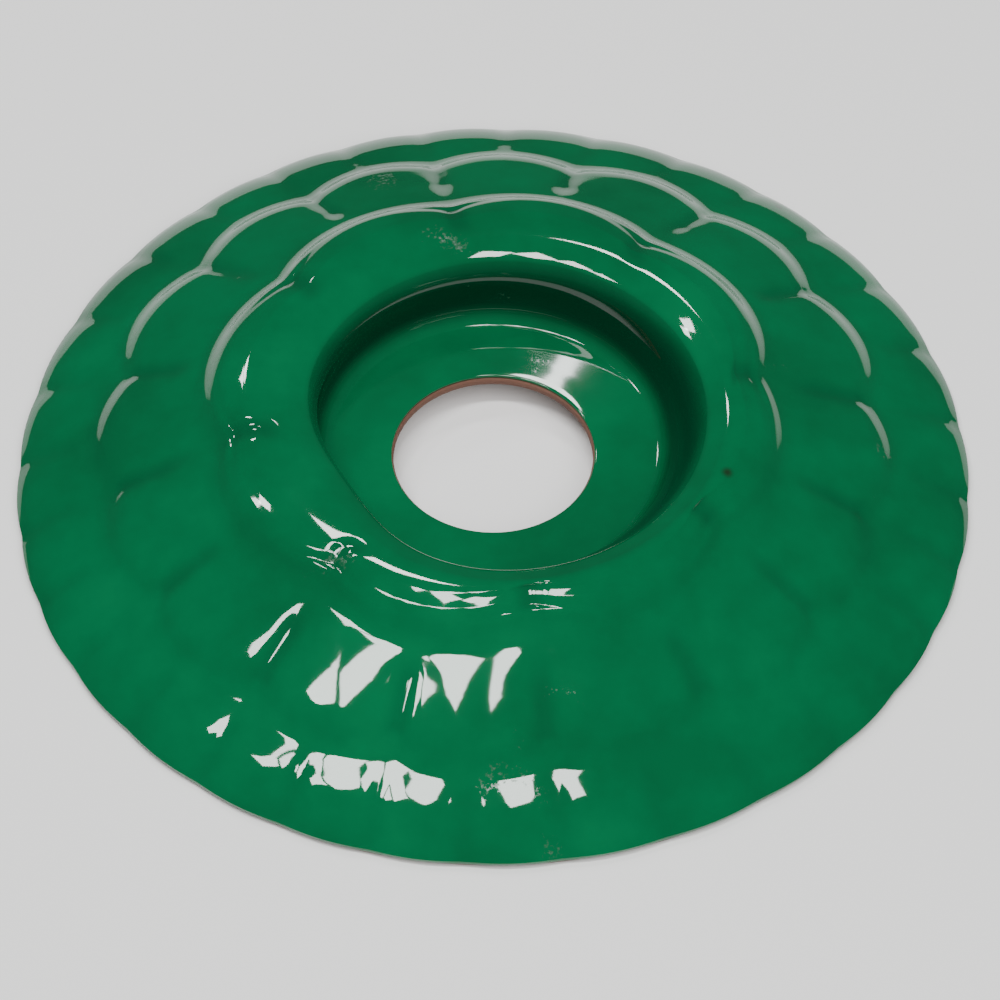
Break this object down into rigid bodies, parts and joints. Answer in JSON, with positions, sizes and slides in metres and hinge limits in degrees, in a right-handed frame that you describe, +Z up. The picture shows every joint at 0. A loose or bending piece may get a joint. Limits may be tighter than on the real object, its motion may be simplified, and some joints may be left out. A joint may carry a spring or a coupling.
{
  "type": "drinking fountain top",
  "caption": "Round glazed ceramic dome that steps down in scalloped tiers from a thick rolled lip, with a drinking cup and an open hole in its middle.",
  "frame": {"origin": "centre of the foot at its resting plane, on the axis of the hole", "axes": "+Z up along the axis of the hole, towards the lip"},
  "size_m": [0.2996, 0.2996, 0.0425],
  "materials": {
    "fired_clay": "bare fired clay, dry and slightly rough",
    "green_glaze": "deep green glass glaze, very glossy, darker where it pools"
  },
  "bodies": {
    "root": {"clay_body": "fired_clay", "glaze_coat": "green_glaze"}
  },
  "joints": []
}
